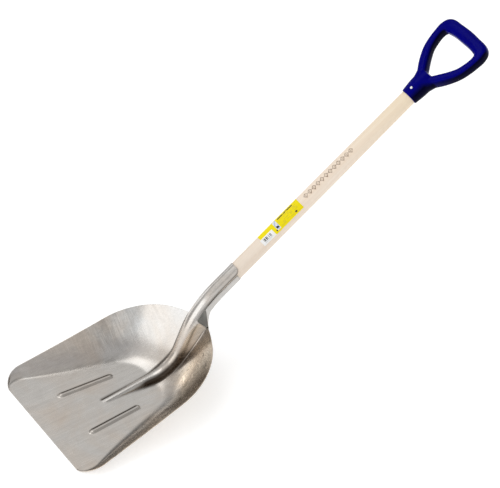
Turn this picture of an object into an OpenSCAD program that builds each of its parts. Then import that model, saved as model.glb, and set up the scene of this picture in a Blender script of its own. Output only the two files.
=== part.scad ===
// Grain scoop shovel: a pressed sheet-steel scoop whose raised centre channel (the frog) rises into
// the front half of a handle socket, a rear strap that closes the socket, a round wooden shaft and a
// moulded D-grip held by one rivet. The scoop lies flat, its front edge along X at y = 0, its
// underside on z = 0, and the handle climbs towards +Y.

/* [Scoop] */
// Half of the scoop's greatest width, just behind the front corners
scoop_half_w = 185.5; // [170:0.5:200]
// Radius of the two front corners, seen from above
corner_r = 46; // [38:1:54]
// Distance from the front edge to the centre of the round back
back_y = 250; // [235:1:262]
// Radius of the round back
back_r = 167; // [160:1:172]
// Height of the side wall at the back of its straight stretch
side_h = 68; // [50:1:80]
// Further height that the rim gains round the back
back_rise = 42; // [30:1:46]
// Thickness of the sheet
sheet_t = 1.5; // [1.2:0.1:2]

/* [Frog and neck] */
// Distance from the front edge to the tip of the frog
frog_tip_y = 156; // [150:1:162]
// Slope of the frog's crest along the scoop floor
crest_slope = 6.5; // [5.5:0.1:7.5]
// Length of that straight crest
crest_len = 132; // [128:1:136]
// Radius of the knee where the crest turns upwards
knee_r = 80; // [75:1:85]
// Steepest slope of the neck
neck_slope = 66; // [64:0.5:68]
// Length of the steepest stretch
neck_len = 44; // [42:1:47]
// Radius with which the neck bends back to the handle's slope
neck_r = 236; // [228:1:245]
// Slope of the handle above the scoop floor
lift = 32.6; // [31:0.1:34]

/* [Socket] */
// Straight length of the socket above the neck
socket_len = 64; // [58:1:80]
// Angle from the front to the seam between the socket's two halves
seam_angle = 60; // [50:1:75]
// How far the rear strap's top ends below the front half's top
strap_drop = 11; // [6:1:16]

/* [Ribs] */
// Distance from the front edge to the front ends of the two stiffening ribs
rib_front_y = 83; // [75:1:90]
// Distance from the front edge to their back ends
rib_back_y = 219; // [205:1:225]
// Distance of a rib's front end from the middle
rib_front_x = 68.5; // [64:0.5:74]
// Distance of a rib's back end from the middle
rib_back_x = 58.7; // [56:0.1:64]
// Half of a rib's width
rib_half_w = 6.5; // [5:0.5:8]
// Height of a rib
rib_h = 3.5; // [2:0.5:4.5]

/* [Handle] */
// Diameter of the wooden shaft
shaft_d = 38; // [36:0.5:38]
// Diameter to which the shaft tapers at the grip
shaft_end_d = 36; // [34:0.5:37]
// Length of shaft between the socket's top and the grip's mouth
shaft_free = 547; // [450:1:650]
// Length of the shaft held inside the grip
grip_hold = 58; // [45:1:60]

/* [Grip] */
// Outer diameter of the grip's socket at its mouth
grip_mouth_d = 42.5; // [41:0.5:46]
// Outer diameter of the grip's socket where the arms begin
grip_socket_d = 49; // [47:0.5:54]
// Length of the grip from its mouth to the top of the crossbar
grip_len = 205; // [200:1:210]
// Half of the grip's greatest width
grip_half_w = 77; // [74:1:82]
// Thickness of the crossbar along the handle
bar_t = 34; // [30:1:36]

/* [Labels] */
// Distance from the socket's top to the paper label
label_gap = 82; // [15:1:100]
// Length of the paper label
label_len = 122; // [80:1:130]
// Angle that the label wraps round the shaft
label_wrap = 120; // [90:1:140]

/* [Hidden] */

// The frame's origin lies on the underside's flat face, this far behind the front edge. All shapes
// below are laid out from the front edge and moved into the frame by their modules.
face_y = 100;
module in_frame() translate([0, -face_y, 0]) children();

shaft_r = shaft_d / 2;
end_r = shaft_end_d / 2;
tube_r = shaft_r + sheet_t;              // outer radius of the socket and neck
corner_x = scoop_half_w - corner_r;      // centre of a front corner

// ---- small helpers ---------------------------------------------------------------------------
function clamp(v, lo, hi) = max(lo, min(hi, v));
function ease(v) = let (c = clamp(v, 0, 1)) c * c * (3 - 2 * c);
function mix(a, b, k) = a + (b - a) * k;
function unit(v) = v / norm(v);

// ---- the bowl: height of the sheet's top over any point of the plan ---------------------------
// Front and sides are described by y, the round back by the angle round [0, back_y].
side_turn = 5;                           // angle at which the straight side meets the round back
wall_reach = 64;                         // plan width that the side walls grow towards
wall_growth = 130;                       // length over which they grow
rim_z0 = 0.205;                          // slope of the rim at the front
rim_front = 21.5;                        // rim height carried by the front corners
function side_rim_z(y) = (rim_front + rim_z0 * (y - corner_r) + (side_h - rim_front
    - rim_z0 * (back_y - corner_r)) * pow((y - corner_r) / (back_y - corner_r), 2))
    * (1 - exp(-y / 12));
function side_wall(y) = wall_reach * (1 - exp(-y / wall_growth));
function side_bend(y) = min(8 + 36 * pow(max(y, 0) / 300, 1.5), 0.8 * side_wall(y));
function side_rim_x(y) = y < corner_r
    ? corner_x + sqrt(pow(corner_r, 2) - pow(corner_r - y, 2))
    : scoop_half_w - (scoop_half_w - back_r / cos(side_turn)) * (y - corner_r) / (back_y - corner_r);

function back_rim_r(a) = (a < side_turn ? back_r / cos(a - side_turn) : back_r)
    + 5 * pow(sin(a), 2) + 7 * pow(clamp((a - 65) / 20, 0, 1), 2);
function back_rim_z(a) = side_rim_z(back_y) + back_rise * sin(a);
function back_wall(a) = side_wall(back_y) + 12 * sin(a) + 23 * pow(sin(a), 2);
function back_bend(a) = side_bend(back_y) + 20 * sin(a);

// Height of a wall at a plan distance d outside its bend line, with a parabolic bend of half-width b
function hinge(d, b) = d < -b ? 0 : d < b ? pow(d + b, 2) / (4 * b) : d;
function wall_z(r, rim_r, rim_z, wall, bend) =
    wall < 0.5 ? 0 : rim_z / wall * hinge(r - rim_r + wall, bend);
function bowl_z(x, y) = y <= back_y
    ? wall_z(x, side_rim_x(y), side_rim_z(y), side_wall(y), side_bend(y))
    : let (a = atan2(y - back_y, x))
      wall_z(norm([x, y - back_y]), back_rim_r(a), back_rim_z(a), back_wall(a), back_bend(a));

// ---- the crest line of the frog, neck and socket, in the plane x = 0 ---------------------------
crest_a = crest_len;
crest_b = crest_a + knee_r * (neck_slope - crest_slope) * PI / 180;
crest_c = crest_b + neck_len;
crest_d = crest_c + neck_r * (neck_slope - lift) * PI / 180;
crest_end = crest_d + socket_len;
function along(a) = [cos(a), sin(a)];
function up_arc(r, a0, a1) = r * [sin(a1) - sin(a0), cos(a0) - cos(a1)];
knee_start = [frog_tip_y, 0] + crest_len * along(crest_slope);
knee_end = knee_start + up_arc(knee_r, crest_slope, neck_slope);
neck_start = knee_end + neck_len * along(neck_slope);
neck_end = neck_start - up_arc(neck_r, neck_slope, lift);
function crest_angle(s) = s < 0 ? 0 : s < crest_a ? crest_slope
    : s < crest_b ? crest_slope + (s - crest_a) / knee_r * 180 / PI
    : s < crest_c ? neck_slope
    : s < crest_d ? neck_slope - (s - crest_c) / neck_r * 180 / PI : lift;
function crest(s) = s < 0 ? [frog_tip_y + s, 0]
    : s < crest_a ? [frog_tip_y, 0] + s * along(crest_slope)
    : s < crest_b ? knee_start + up_arc(knee_r, crest_slope, crest_angle(s))
    : s < crest_c ? knee_end + (s - crest_b) * along(neck_slope)
    : s < crest_d ? neck_start - up_arc(neck_r, neck_slope, crest_angle(s))
    : neck_end + (s - crest_d) * along(lift);

// Half-width of the frog: a narrow ridge that widens into the full tube
tip_half_w = 5.5;
function frog_half_w(s) = mix(mix(tip_half_w, 13, clamp(s / 105, 0, 1)), tube_r, ease((s - 90) / 80));
// A point at depth d under the crest and x to the side
function frog_point(s, x, d) = let (a = crest_angle(s), c = crest(s))
    [x, c[0] + d * sin(a), c[1] - d * cos(a) + sheet_t];
// Depth at which the flank of the frog reaches the bowl
function bowl_gap(s, d) = let (p = frog_point(s, frog_half_w(s), d)) p[2] - sheet_t - bowl_z(p[0], p[1]);
function find_depth(s, lo, hi, n) = n == 0 ? (lo + hi) / 2
    : let (m = (lo + hi) / 2, open = bowl_gap(s, m) > 0)
      find_depth(s, open ? m : lo, open ? hi : m, n - 1);
function foot_depth(s) = s <= 0 ? 0 : find_depth(s, 0, 70, 16);

// Where the rim meets the neck, and how quickly the free edge then climbs to the seam
rim_end = crest_c + 32;
flare_len = 18;
seam_arc = tube_r * seam_angle * PI / 180;
top_corner = 13;                         // radius of the rounded corners at the socket's top
// A point of the frog's section, e millimetres along the sheet from its crest
function section_point(s, e) = let (
        w = frog_half_w(s), d = min(foot_depth(s), tube_r), quarter = PI / 2 * sqrt((w * w + d * d) / 2),
        a = 90 * e / quarter)
    e <= quarter ? frog_point(s, w * sin(a), d * (1 - cos(a))) : frog_point(s, w, d + e - quarter);
function full_arc(s) = let (w = frog_half_w(s), f = foot_depth(s), d = min(f, tube_r))
    PI / 2 * sqrt((w * w + d * d) / 2) + f - d;
function top_cut(s, end) = let (u = s - (end - top_corner))
    u <= 0 ? 0 : top_corner - sqrt(max(pow(top_corner, 2) - u * u, 0));
function edge_arc(s) = s <= rim_end ? full_arc(s)
    : mix(full_arc(rim_end), seam_arc, ease((s - rim_end) / flare_len)) - top_cut(s, crest_end);

// ---- the ribs, raised on the floor --------------------------------------------------------------
rib_slope = (rib_back_x - rib_front_x) / (rib_back_y - rib_front_y);
function rib_centre(y) = rib_front_x + rib_slope * (clamp(y, 0, back_y) - rib_front_y);
function rib_z(x, y) = let (
        past = max(rib_front_y + rib_half_w - y, y - rib_back_y + rib_half_w, 0),
        q = norm([x - rib_centre(y), past]) / rib_half_w)
    q < 1 ? rib_h * pow(1 - q * q, 1.3) : 0;

// ---- the scoop's sheet: one grid of points for its top, one for its underside --------------------
frog_cols = 7;
inner_cols = 3;
outer_cols = 9;
// Stations along the crest: the open floor, the frog, the bowl's back and the free socket
floor_stations = concat([0, 2.5, 7, 14, 23, 34, 46], [for (k = [0:2]) 60 + 10 * k],
                        [for (k = [0:4]) 84 + k * 3 + (k > 2 ? 12 * (k - 2) : 0)]);
stations = concat([for (y = floor_stations) y - frog_tip_y], [-9, 0], [for (k = [1:6]) 12 * k],
    [78, 84, 95], [for (k = [1:14]) mix(95, rim_end, k / 14)]);
shell_stations = concat([for (k = [1:4]) rim_end + flare_len * k / 4],
    [for (k = [1:5]) mix(rim_end + flare_len, crest_end - top_corner, k / 5)],
    [for (k = [1:4]) crest_end - top_corner + top_corner * sin(90 * k / 4)]);

// Rim point that a station's grid line runs to
function foot_y(s) = frog_point(s, 0, foot_depth(s))[1];
rim_last_y = foot_y(rim_end);
last_angle = atan2(rim_last_y - back_y, tube_r);
function rim_xy(s) = let (y = foot_y(s), a = last_angle * (y - back_y) / (rim_last_y - back_y))
    y <= back_y ? [side_rim_x(y), y] : [0, back_y] + back_rim_r(a) * [cos(a), sin(a)];
// Share of the way from the frog's foot to the rim at which each column of the grid lies
function shares(f, r) = let (
        c = clamp((rib_centre(f[1]) - f[0]) / (r[0] - f[0]), 0.25, 0.5), e = 0.04)
    concat([for (k = [1:inner_cols]) (c - e) * k / inner_cols], [c - e / 2, c, c + e / 2, c + e],
           [for (k = [1:outer_cols]) mix(c + e, 1, k / outer_cols)]);
function bowl_line(s) = let (foot = section_point(s, full_arc(s)), r = rim_xy(s))
    [for (u = shares([foot[0], foot[1]], r)) let (x = mix(foot[0], r[0], u), y = mix(foot[1], r[1], u))
        [x, y, bowl_z(x, y) + rib_z(x, y) + sheet_t]];
function frog_line(s, to) = [for (k = [0:frog_cols]) section_point(s, to * k / frog_cols)];
function half_line(s) = concat(frog_line(s, full_arc(s)), bowl_line(s));
function mirror_line(l) = concat([for (k = [len(l) - 1:-1:1]) [-l[k][0], l[k][1], l[k][2]]], l);

// Underside of a grid: each point moved through the sheet, square to it
function grid_normal(g, i, j) = let (
        up = g[min(i + 1, len(g) - 1)][j], down = g[max(i - 1, 0)][j],
        right = g[i][min(j + 1, len(g[i]) - 1)], left = g[i][max(j - 1, 0)])
    unit(cross(right - left, up - down));
function under(g, t) = [for (i = [0:len(g) - 1]) [for (j = [0:len(g[i]) - 1])
    g[i][j] - t * grid_normal(g, i, j)]];
function flat_list(g) = [for (row = g, p = row) p];
function quad(a, b, c, d) = [[a, b, c], [a, c, d]];
// Faces that close a sheet round its outline: n is the count of points on each of its two skins
function wall_faces(loop, n) = [for (k = [0:len(loop) - 1]) let (a = loop[k], b = loop[(k + 1) % len(loop)])
    each quad(a, b, b + n, a + n)];
function rim_loop(rows, wide) = concat(
    [for (j = [0:wide - 1]) j], [for (i = [1:rows - 1]) i * wide + wide - 1],
    [for (j = [wide - 2:-1:0]) (rows - 1) * wide + j], [for (i = [rows - 2:-1:1]) i * wide]);
function skin_faces(rows, wide) = [for (i = [0:rows - 2], j = [0:wide - 2])
    each quad(i * wide + j, (i + 1) * wide + j, (i + 1) * wide + j + 1, i * wide + j + 1)];
function flipped(faces, n) = [for (f = faces) [f[0] + n, f[2] + n, f[1] + n]];

// A closed sheet whose top is a grid of points
module sheet(top, t) {
    rows = len(top);
    wide = len(top[0]);
    n = rows * wide;
    skin = skin_faces(rows, wide);
    polyhedron(concat(flat_list(top), flat_list(under(top, t))),
        concat(skin, flipped(skin, n), wall_faces(rim_loop(rows, wide), n)));
}

// ---- sub-parts -----------------------------------------------------------------------------------
// Pressed scoop with its ribs, its frog and the front half of the socket: one sheet of steel. The
// bowl's grid and the narrower grid of the free socket share the frog's columns where they meet.
module scoop_blade() {
    bowl = [for (s = stations) mirror_line(half_line(s))];
    neck = [for (s = concat([rim_end], shell_stations)) mirror_line(frog_line(s, edge_arc(s)))];
    bowl_rows = len(bowl);
    bowl_wide = len(bowl[0]);
    neck_rows = len(neck) - 1;
    neck_wide = len(neck[0]);
    first = (bowl_wide - neck_wide) / 2;
    last = first + neck_wide - 1;
    bowl_n = bowl_rows * bowl_wide;
    n = bowl_n + neck_rows * neck_wide;
    function neck_at(i, j) = i == 0 ? bowl_n - bowl_wide + first + j : bowl_n + (i - 1) * neck_wide + j;
    skin = concat(skin_faces(bowl_rows, bowl_wide), [for (i = [0:neck_rows - 1], j = [0:neck_wide - 2])
        each quad(neck_at(i, j), neck_at(i + 1, j), neck_at(i + 1, j + 1), neck_at(i, j + 1))]);
    outline = concat(
        [for (j = [0:bowl_wide - 1]) j],
        [for (i = [1:bowl_rows - 1]) i * bowl_wide + bowl_wide - 1],
        [for (j = [bowl_wide - 2:-1:last]) bowl_n - bowl_wide + j],
        [for (i = [1:neck_rows]) neck_at(i, neck_wide - 1)],
        [for (j = [neck_wide - 2:-1:0]) neck_at(neck_rows, j)],
        [for (i = [neck_rows - 1:-1:0]) neck_at(i, 0)],
        [for (j = [first - 1:-1:0]) bowl_n - bowl_wide + j],
        [for (i = [bowl_rows - 2:-1:1]) i * bowl_wide]);
    bowl_under = under(bowl, sheet_t);
    neck_under = under(neck, sheet_t);
    in_frame() color("silver") polyhedron(
        concat(flat_list(bowl), flat_list([for (i = [1:neck_rows]) neck[i]]),
               flat_list(bowl_under), flat_list([for (i = [1:neck_rows]) neck_under[i]])),
        concat(skin, flipped(skin, n), wall_faces(outline, n)));
}

// Rear strap: the back of the socket, flaring below onto the outside of the bowl
strap_gap = 6;                           // angle between the two halves' edges at the seam
strap_top = crest_end - strap_drop;
strap_cols = 16;
rim_gap = 2;                             // how far the strap stands off the bowl at its rim
strap_reach = 54;                        // how far the flare runs down the outside of the bowl
function tube_point(s, a, r) = let (p = crest_angle(s), c = crest(s))
    [r * sin(a), c[0] + (tube_r - r * cos(a)) * sin(p), c[1] - (tube_r - r * cos(a)) * cos(p) + sheet_t];
function strap_tube_row(s) = let (half = 180 - seam_angle - strap_gap)
    [for (k = [0:strap_cols]) tube_point(s, 180 + half * (2 * k / strap_cols - 1), shaft_r + fit)];
function flare_half_w(d) = 25 + 11 * ease(d / 14) - 24 * pow(clamp((d - 22) / (strap_reach - 22), 0, 1), 2);
function strap_flare_row(d) = let (stand_off = 0.15 + rim_gap * clamp((8 - d) / 7, 0, 1))
    [for (k = [0:strap_cols]) let (
        x = flare_half_w(d) * (1 - 2 * k / strap_cols), a = atan2(back_r, abs(x)),
        r = back_rim_r(a) - d, y = back_y + sqrt(r * r - x * x),
        steep = bowl_z(abs(x), y + 0.5) - bowl_z(abs(x), y - 0.5))
    [x, y + stand_off, bowl_z(abs(x), y) + sheet_t * (1 - 1.15 * sqrt(1 + steep * steep))]];
// Cheeks: a row outside the neck's back edges, where the strap opens before it runs down to the rim
cheek_s = rim_end + 37;                  // place along the crest
cheek_half = 84;                         // angle from its middle to its ends
cheek_gap = 2;                           // clearance round the neck
function strap_cheek_row() = [for (k = [0:strap_cols])
    tube_point(cheek_s, 180 - cheek_half * (1 - 2 * k / strap_cols), tube_r + cheek_gap)];
function mix_row(a, b, k) = [for (i = [0:len(a) - 1]) mix(a[i], b[i], k)];
strap_low = rim_end + flare_len + 32;    // lower end of the strap's round part
module socket_strap() {
    tube = [for (k = [0:6]) strap_tube_row(mix(strap_top, strap_low, k / 6))];
    flare = [for (k = [0:6]) strap_flare_row(1 + (strap_reach - 1) * k / 6)];
    cheek = strap_cheek_row();
    blend = [mix_row(tube[6], cheek, 0.35), mix_row(tube[6], cheek, 0.7), cheek,
             mix_row(cheek, flare[0], 0.35), mix_row(cheek, flare[0], 0.7)];
    in_frame() color("darkgray") difference() {
        sheet(concat(tube, blend, flare), sheet_t);
        for (z = screw_places) on_handle(z) rotate([-90, 0, 0])
            cylinder(d = screw_d + 2 * hole_gap, h = 2 * tube_r, $fn = 24);
    }
}

// Handle frame: z runs up the shaft from the end of the neck, y points to the back
handle_foot = [0, neck_end[0] + tube_r * sin(lift), neck_end[1] - tube_r * cos(lift) + sheet_t];
module on_handle(z) translate(handle_foot) rotate([lift - 90, 0, 0]) translate([0, 0, z]) children();
mouth_z = socket_len + shaft_free;       // the grip's mouth
shaft_top = mouth_z + grip_hold;
taper_z = mouth_z - 250;                 // where the shaft starts to taper
nose_len = 55;                           // tapered end of the shaft inside the neck
fit = 0.1;                               // clearance round the shaft in its sockets

bore_spare = 3;                          // how far the grip's bore runs past the shaft's end
hole_gap = 0.2;                          // extra diameter of the rivet's holes
rivet_d = 4.5;
rivet_z = mouth_z + 18;
rivet_turn = 10;                         // angle round the shaft from the front to the rivet
screw_d = 4.5;
screw_len = 26;
screw_head_d = 9.5;
screw_places = [14, 36];

module handle_shaft() in_frame() color("burlywood") difference() {
    on_handle(0) rotate_extrude($fn = 96) polygon([[0, -nose_len], [9, -nose_len], [shaft_r - 2, -6],
        [shaft_r - fit, 6], [shaft_r - fit, socket_len + 2], [shaft_r, socket_len + 3],
        [shaft_r, taper_z], [end_r, mouth_z - 2], [end_r - fit, mouth_z - 1], [end_r - fit, shaft_top - 3],
        [end_r - 3, shaft_top], [0, shaft_top]]);
    on_handle(rivet_z) rotate([90, 0, rivet_turn])
        cylinder(d = rivet_d + hole_gap, h = 60, center = true, $fn = 32);
    for (z = screw_places) on_handle(z) translate([0, shaft_r + 1, 0]) rotate([90, 0, 0])
        cylinder(d = screw_d, h = screw_len + 1, $fn = 24);
}

// Two round-head screws that hold the strap to the shaft from behind
screw_dome = 3;                          // height of a screw's head
recess = [5, 1.1, 1.8];                  // length, width and depth of the cross in the head
module strap_screws() in_frame() color("gainsboro") for (z = screw_places)
    on_handle(z) translate([0, tube_r + 0.1, 0]) rotate([90, 0, 0]) difference() {
        rotate_extrude($fn = 32) polygon(concat(
            [[0, screw_len], [1, screw_len - 1], [screw_d / 2 - 0.1, screw_len - 6], [screw_d / 2 - 0.1, 0],
             [screw_head_d / 2, 0]],
            [for (a = [15:15:90]) [screw_head_d / 2 * cos(a), -screw_dome * sin(a)]]));
        for (turn = [0, 90]) rotate([0, 0, turn]) translate([0, 0, -screw_dome])
            cube([recess[0], recess[1], 2 * recess[2]], center = true);
    }

// Moulded D-grip: two arms and a crossbar swept as one loop, blended into a round socket
socket_r = grip_socket_d / 2;
grip_mouth_r = grip_mouth_d / 2;
bar_z = grip_len - bar_t / 2;            // centre line of the crossbar
arm_x = grip_half_w - 13;                // centre line of an arm where it is furthest out
collar_len = 40;                         // length of the round part of the grip's socket
swell_len = 32;                          // length over which the socket swells from its mouth
function collar_r(z) = mix(grip_mouth_r, socket_r, clamp(z / swell_len, 0, 1));
web_x = 20;                              // where the web's round shoulders lie beside the middle
web_z = 58;                              // and above the mouth
// Centre line of one side of the loop, [x, z] from the mouth, then half-width and half-depth
loop_side = [[11, 52, 11, 16], [30, 74, 12, 16], [45, 94, 12, 15], [57, 115, 11.5, 14],
             [arm_x - 0.5, 138, 11, 14], [arm_x + 2, 157, 11, 14.5], [arm_x + 0.5, 172, 13.5, 15.5],
             [arm_x - 9, bar_z - 4.5, 17.5, 16.5], [30, bar_z - 1, bar_t / 2 - 0.5, 17],
             [0, bar_z, bar_t / 2, 17]];
function spline(p, k, t) = let (
        n = len(p) - 1, a = p[max(k - 1, 0)], b = p[k], c = p[min(k + 1, n)], d = p[min(k + 2, n)])
    0.5 * (2 * b + (c - a) * t + (2 * a - 5 * b + 4 * c - d) * t * t + (3 * b - a - 3 * c + d) * t * t * t);
loop_half = [for (k = [0:len(loop_side) - 2], t = [0, 0.5]) spline(loop_side, k, t)];
loop = concat(loop_half, [loop_side[len(loop_side) - 1]],
    [for (k = [len(loop_half) - 1:-1:0]) let (p = loop_half[k]) [-p[0], p[1], p[2], p[3]]]);
ring = 16;
function loop_ring(k) = let (
        p = loop[k], a = loop[max(k - 1, 0)], b = loop[min(k + 1, len(loop) - 1)],
        t = unit([b[0] - a[0], b[1] - a[1]]))
    [for (i = [0:ring - 1]) let (u = 360 * i / ring)
        [p[0] + t[1] * p[2] * cos(u), p[3] * sin(u), p[1] - t[0] * p[2] * cos(u)]];
module grip_loop() {
    n = len(loop);
    polyhedron([for (k = [0:n - 1]) each loop_ring(k)], concat(
        [for (k = [0:n - 2], i = [0:ring - 1]) let (j = (i + 1) % ring)
            each quad(k * ring + i, (k + 1) * ring + i, (k + 1) * ring + j, k * ring + j)],
        [[for (i = [0:ring - 1]) i], [for (i = [ring - 1:-1:0]) (n - 1) * ring + i]]));
}
module d_grip() in_frame() color("navy") on_handle(mouth_z) difference() {
    union() {
        rotate_extrude($fn = 64) polygon([[0, 0], [grip_mouth_r - 1, 0], [grip_mouth_r, 1],
            [socket_r, swell_len], [socket_r, collar_len], [socket_r - 4, web_z + 10], [0, web_z + 10]]);
        hull() {
            translate([0, 0, collar_len]) cylinder(r = socket_r - 0.2, h = 4, $fn = 32);
            for (x = [-web_x, web_x]) translate([x, 0, web_z]) scale([1, 1.25, 1]) sphere(r = 12, $fn = 24);
        }
        grip_loop();
    }
    translate([0, 0, -1]) cylinder(r = end_r, h = grip_hold + bore_spare, $fn = 96);
    translate([0, 0, rivet_z - mouth_z]) rotate([90, 0, rivet_turn])
        cylinder(d = rivet_d + hole_gap, h = 80, center = true, $fn = 32);
}

// Rivet through grip and shaft, a low dome at each end
rivet_head_r = 3.2;
rivet_dome = 1.8;
module grip_rivet() in_frame() color("white") on_handle(rivet_z) rotate([90, 0, rivet_turn])
    rotate_extrude($fn = 32) polygon(let (h = collar_r(rivet_z - mouth_z) + 3 * fit, r = rivet_d / 2) concat(
        [[0, -h - rivet_dome]], [for (a = [75:-15:0]) [rivet_head_r * cos(a), -h - rivet_dome * sin(a)]],
        [[r, -h], [r, h]],
        [for (a = [0:15:75]) [rivet_head_r * cos(a), h + rivet_dome * sin(a)]], [[0, h + rivet_dome]]));

// Thin skins wrapped round the shaft; angles are from the front
label_t = 0.2;
module wrapped(z, len, from, to, r) on_handle(z) rotate([0, 0, from - 90])
    rotate_extrude(angle = to - from, $fn = 96) translate([r, 0]) square([label_t, len]);
label_z = socket_len + label_gap;
module shaft_label() in_frame() color("yellow")
    wrapped(label_z, label_len, -label_wrap / 2, label_wrap / 2, shaft_r + 0.02);
sticker_len = 37;
sticker_edges = [9, 60];                 // angles of the sticker's two edges; it overhangs the label
module barcode_sticker() in_frame() color("white")
    wrapped(label_z - 2, sticker_len, sticker_edges[0], sticker_edges[1], shaft_r + label_t + 0.04);

scoop_blade();
socket_strap();
handle_shaft();
strap_screws();
d_grip();
grip_rivet();
shaft_label();
barcode_sticker();
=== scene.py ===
import math

import bmesh
import bpy
import numpy as np
from mathutils import Matrix, Vector


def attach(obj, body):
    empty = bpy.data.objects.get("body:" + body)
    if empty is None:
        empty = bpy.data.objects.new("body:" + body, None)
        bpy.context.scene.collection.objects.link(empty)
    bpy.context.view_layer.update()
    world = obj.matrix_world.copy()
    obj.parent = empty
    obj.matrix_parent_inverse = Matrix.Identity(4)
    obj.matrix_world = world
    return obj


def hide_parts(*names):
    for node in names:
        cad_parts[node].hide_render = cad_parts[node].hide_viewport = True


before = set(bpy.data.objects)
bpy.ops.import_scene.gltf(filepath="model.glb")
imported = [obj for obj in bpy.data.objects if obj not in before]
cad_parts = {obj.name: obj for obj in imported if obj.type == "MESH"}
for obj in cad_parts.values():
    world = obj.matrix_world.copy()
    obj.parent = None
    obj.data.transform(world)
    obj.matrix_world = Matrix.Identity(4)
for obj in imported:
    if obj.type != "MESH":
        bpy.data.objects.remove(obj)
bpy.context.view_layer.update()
MM = 0.001

# ---------------------------------------------------------------- dimensions, as the CAD part has them, in mm
SHEET = 1.5
HALF_W, CORNER_R, BACK_Y, BACK_R = 185.5, 46.0, 250.0, 167.0
SIDE_H, BACK_RISE = 68.0, 42.0
RIM_FRONT, RIM_GRADE, RIM_LIP = 21.5, 0.205, 12.0
WALL_REACH, WALL_GROWTH, SIDE_TURN = 64.0, 130.0, 5.0
BEND_FRONT, BEND_GAIN, BEND_LEN, BEND_SHARE = 8.0, 36.0, 300.0, 0.8     # half-width of the bend at a wall's foot
BACK_SWELL, HEEL_SWELL, HEEL_FROM, HEEL_TURN = 5.0, 7.0, 65.0, 20.0     # what the back's radius gains, and where
BACK_WALL, BACK_WALL_2, BACK_BEND = 12.0, 23.0, 20.0                    # what wall and bend gain round the back
TIP_Y, CREST_SLOPE, CREST_LEN = 156.0, 6.5, 132.0
TIP_HALF, FROG_HALF, FROG_LEN, NECK_FROM, NECK_GAIN = 5.5, 13.0, 105.0, 90.0, 80.0
KNEE_R, NECK_SLOPE, NECK_LEN, NECK_R, LIFT = 80.0, 66.0, 44.0, 236.0, 32.6
SOCKET_LEN, SEAM_ANGLE, STRAP_DROP = 64.0, 60.0, 11.0
SHAFT_R, END_R = 19.0, 18.0
SHAFT_FREE, GRIP_HOLD, TAPER_LEN = 547.0, 58.0, 250.0
GRIP_LEN, GRIP_HALF_W, BAR_T = 205.0, 77.0, 34.0
RIB_FRONT, RIB_BACK, RIB_FRONT_X, RIB_BACK_X, RIB_HALF, RIB_H = 83.0, 219.0, 68.5, 58.7, 6.5, 3.5
FACE_Y = 100.0
TUBE_R = SHAFT_R + SHEET
CORNER_X = HALF_W - CORNER_R
FIT = 0.1


def ease(v):
    c = np.clip(v, 0, 1)
    return c * c * (3 - 2 * c)


def mix(a, b, k):
    return a + (b - a) * k


# ---------------------------------------------------------------- the bowl
# Sides are described by y, the distance behind the front edge, and the round back by the angle a
# round its centre. Each wall has a plan width, a rim height and a parabolic bend at its foot.
def side_rim_z(y):
    u = (y - CORNER_R) / (BACK_Y - CORNER_R)
    bulge = SIDE_H - RIM_FRONT - RIM_GRADE * (BACK_Y - CORNER_R)
    return (RIM_FRONT + RIM_GRADE * (y - CORNER_R) + bulge * u * u) * (1 - np.exp(-y / RIM_LIP))


def side_wall(y):
    return WALL_REACH * (1 - np.exp(-y / WALL_GROWTH))


def side_bend(y):
    bend = BEND_FRONT + BEND_GAIN * (np.maximum(y, 0) / BEND_LEN) ** 1.5
    return np.minimum(bend, BEND_SHARE * side_wall(y))


def side_rim_x(y):
    arc = CORNER_X + np.sqrt(np.maximum(CORNER_R ** 2 - (CORNER_R - y) ** 2, 0))
    last = BACK_R / math.cos(math.radians(SIDE_TURN))
    line = HALF_W - (HALF_W - last) * (y - CORNER_R) / (BACK_Y - CORNER_R)
    return np.where(y < CORNER_R, arc, line)


def back_rim_r(a):
    r = np.where(a < SIDE_TURN, BACK_R / np.cos(np.radians(a - SIDE_TURN)), BACK_R)
    heel = np.clip((a - HEEL_FROM) / HEEL_TURN, 0, 1)
    return r + BACK_SWELL * np.sin(np.radians(a)) ** 2 + HEEL_SWELL * heel ** 2


def back_rim_z(a):
    return side_rim_z(BACK_Y) + BACK_RISE * np.sin(np.radians(a))


def back_wall(a):
    s = np.sin(np.radians(a))
    return side_wall(BACK_Y) + BACK_WALL * s + BACK_WALL_2 * s * s


def back_bend(a):
    return side_bend(BACK_Y) + BACK_BEND * np.sin(np.radians(a))


def hinge(d, b):
    """Height of a wall of slope 1 at a distance d outside its fold, with a bend of half-width b."""
    return np.where(d < -b, 0, np.where(d < b, (d + b) ** 2 / (4 * np.maximum(b, 1e-6)), d))


def wall_z(r, rim_r, rim_z, wall, bend):
    return np.where(wall < 0.5, 0, rim_z / np.maximum(wall, 0.5) * hinge(r - rim_r + wall, bend))


def bowl_z(x, y):
    """Height of the sheet's underside over any point of the plan, on the side where x is positive."""
    x, y = np.broadcast_arrays(np.asarray(x, float), np.asarray(y, float))
    ys = np.clip(y, 0, BACK_Y)
    side = wall_z(x, side_rim_x(ys), side_rim_z(ys), side_wall(ys), side_bend(ys))
    a = np.degrees(np.arctan2(np.maximum(y - BACK_Y, 0), x))
    back = wall_z(np.hypot(x, y - BACK_Y), back_rim_r(a), back_rim_z(a), back_wall(a), back_bend(a))
    return np.where(y <= BACK_Y, side, back)


# ---------------------------------------------------------------- the crest line of frog, neck and socket
def heading(a):
    return np.stack([np.cos(np.radians(a)), np.sin(np.radians(a))], -1)


def up_arc(r, a0, a1):
    a0, a1 = np.radians(a0), np.radians(a1)
    return r * np.stack([np.sin(a1) - np.sin(a0), np.cos(a0) - np.cos(a1)], -1)


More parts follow.
